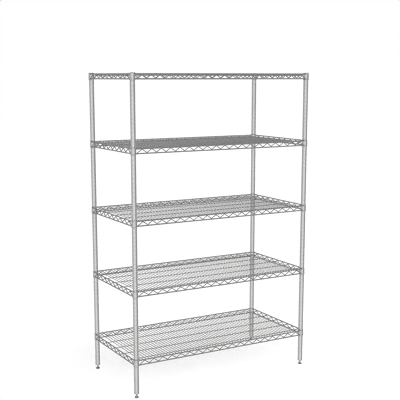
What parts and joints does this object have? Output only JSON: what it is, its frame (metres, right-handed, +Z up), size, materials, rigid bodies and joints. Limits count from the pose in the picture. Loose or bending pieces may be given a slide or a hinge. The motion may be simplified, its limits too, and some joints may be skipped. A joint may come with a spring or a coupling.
{
  "type": "wire shelving rack",
  "caption": "Tall free-standing wire rack: flat wire shelves on grooved tube posts, wedged on tapered sleeves, with screw-in levelling feet.",
  "frame": {"origin": "centre of the footprint on the floor, under the middle of the rack", "axes": "+Z up along the posts; +X along the length, to the right seen from the front; +Y from front to back"},
  "size_m": [1.2066, 0.6064, 1.8584],
  "materials": {
    "chrome_tube": "satin bright plated tube with ring grooves",
    "chrome_wire": "bright plated drawn wire",
    "chrome_collar": "bright plated pressed collar",
    "sleeve_plastic": "moulded grey plastic",
    "cap_plastic": "moulded light grey plastic",
    "insert_steel": "zinc plated",
    "stud_steel": "zinc plated thread",
    "foot_plastic": "dark grey nylon"
  },
  "bodies": {
    "frame": {"post_front_left": "chrome_tube", "post_front_right": "chrome_tube", "post_rear_left": "chrome_tube", "post_rear_right": "chrome_tube", "caps": "cap_plastic", "inserts": "insert_steel", "sleeves_front_left_1": "sleeve_plastic", "sleeves_front_right_1": "sleeve_plastic", "sleeves_rear_left_1": "sleeve_plastic", "sleeves_rear_right_1": "sleeve_plastic", "sleeves_front_left_2": "sleeve_plastic", "sleeves_front_right_2": "sleeve_plastic", "sleeves_rear_left_2": "sleeve_plastic", "sleeves_rear_right_2": "sleeve_plastic", "sleeves_front_left_3": "sleeve_plastic", "sleeves_front_right_3": "sleeve_plastic", "sleeves_rear_left_3": "sleeve_plastic", "sleeves_rear_right_3": "sleeve_plastic", "sleeves_front_left_4": "sleeve_plastic", "sleeves_front_right_4": "sleeve_plastic", "sleeves_rear_left_4": "sleeve_plastic", "sleeves_rear_right_4": "sleeve_plastic", "sleeves_front_left_5": "sleeve_plastic", "sleeves_front_right_5": "sleeve_plastic", "sleeves_rear_left_5": "sleeve_plastic", "sleeves_rear_right_5": "sleeve_plastic"},
    "levelling_foot_front_left": {"stud_front_left": "stud_steel", "foot_front_left": "foot_plastic"},
    "levelling_foot_front_right": {"stud_front_right": "stud_steel", "foot_front_right": "foot_plastic"},
    "levelling_foot_rear_left": {"stud_rear_left": "stud_steel", "foot_rear_left": "foot_plastic"},
    "levelling_foot_rear_right": {"stud_rear_right": "stud_steel", "foot_rear_right": "foot_plastic"},
    "shelf_1": {"collars_1": "chrome_collar", "rails_1": "chrome_wire", "zigzags_1": "chrome_wire", "ribs_1": "chrome_wire", "mat_wires_1": "chrome_wire"},
    "shelf_2": {"collars_2": "chrome_collar", "rails_2": "chrome_wire", "zigzags_2": "chrome_wire", "ribs_2": "chrome_wire", "mat_wires_2": "chrome_wire"},
    "shelf_3": {"collars_3": "chrome_collar", "rails_3": "chrome_wire", "zigzags_3": "chrome_wire", "ribs_3": "chrome_wire", "mat_wires_3": "chrome_wire"},
    "shelf_4": {"collars_4": "chrome_collar", "rails_4": "chrome_wire", "zigzags_4": "chrome_wire", "ribs_4": "chrome_wire", "mat_wires_4": "chrome_wire"},
    "shelf_5": {"collars_5": "chrome_collar", "rails_5": "chrome_wire", "zigzags_5": "chrome_wire", "ribs_5": "chrome_wire", "mat_wires_5": "chrome_wire"}
  },
  "joints": [
    {"name": "foot_front_left_screw", "type": "slide", "parent": "frame", "child": "levelling_foot_front_left", "axis": [0, 0, 1], "range_m": [-0.012, 0.014], "stiffness_N_per_m": 25000, "springref_m": -0.003},
    {"name": "foot_front_right_screw", "type": "slide", "parent": "frame", "child": "levelling_foot_front_right", "axis": [0, 0, 1], "range_m": [-0.012, 0.014], "stiffness_N_per_m": 25000, "springref_m": -0.003},
    {"name": "foot_rear_left_screw", "type": "slide", "parent": "frame", "child": "levelling_foot_rear_left", "axis": [0, 0, 1], "range_m": [-0.012, 0.014], "stiffness_N_per_m": 25000, "springref_m": -0.003},
    {"name": "foot_rear_right_screw", "type": "slide", "parent": "frame", "child": "levelling_foot_rear_right", "axis": [0, 0, 1], "range_m": [-0.012, 0.014], "stiffness_N_per_m": 25000, "springref_m": -0.003},
    {"name": "shelf_1_lift", "type": "slide", "parent": "frame", "child": "shelf_1", "axis": [0, 0, 1], "range_m": [0, 0.36]},
    {"name": "shelf_2_lift", "type": "slide", "parent": "frame", "child": "shelf_2", "axis": [0, 0, 1], "range_m": [0, 0.36]},
    {"name": "shelf_3_lift", "type": "slide", "parent": "frame", "child": "shelf_3", "axis": [0, 0, 1], "range_m": [0, 0.36]},
    {"name": "shelf_4_lift", "type": "slide", "parent": "frame", "child": "shelf_4", "axis": [0, 0, 1], "range_m": [0, 0.36]},
    {"name": "shelf_5_lift", "type": "slide", "parent": "frame", "child": "shelf_5", "axis": [0, 0, 1], "range_m": [0, 0.25]}
  ]
}
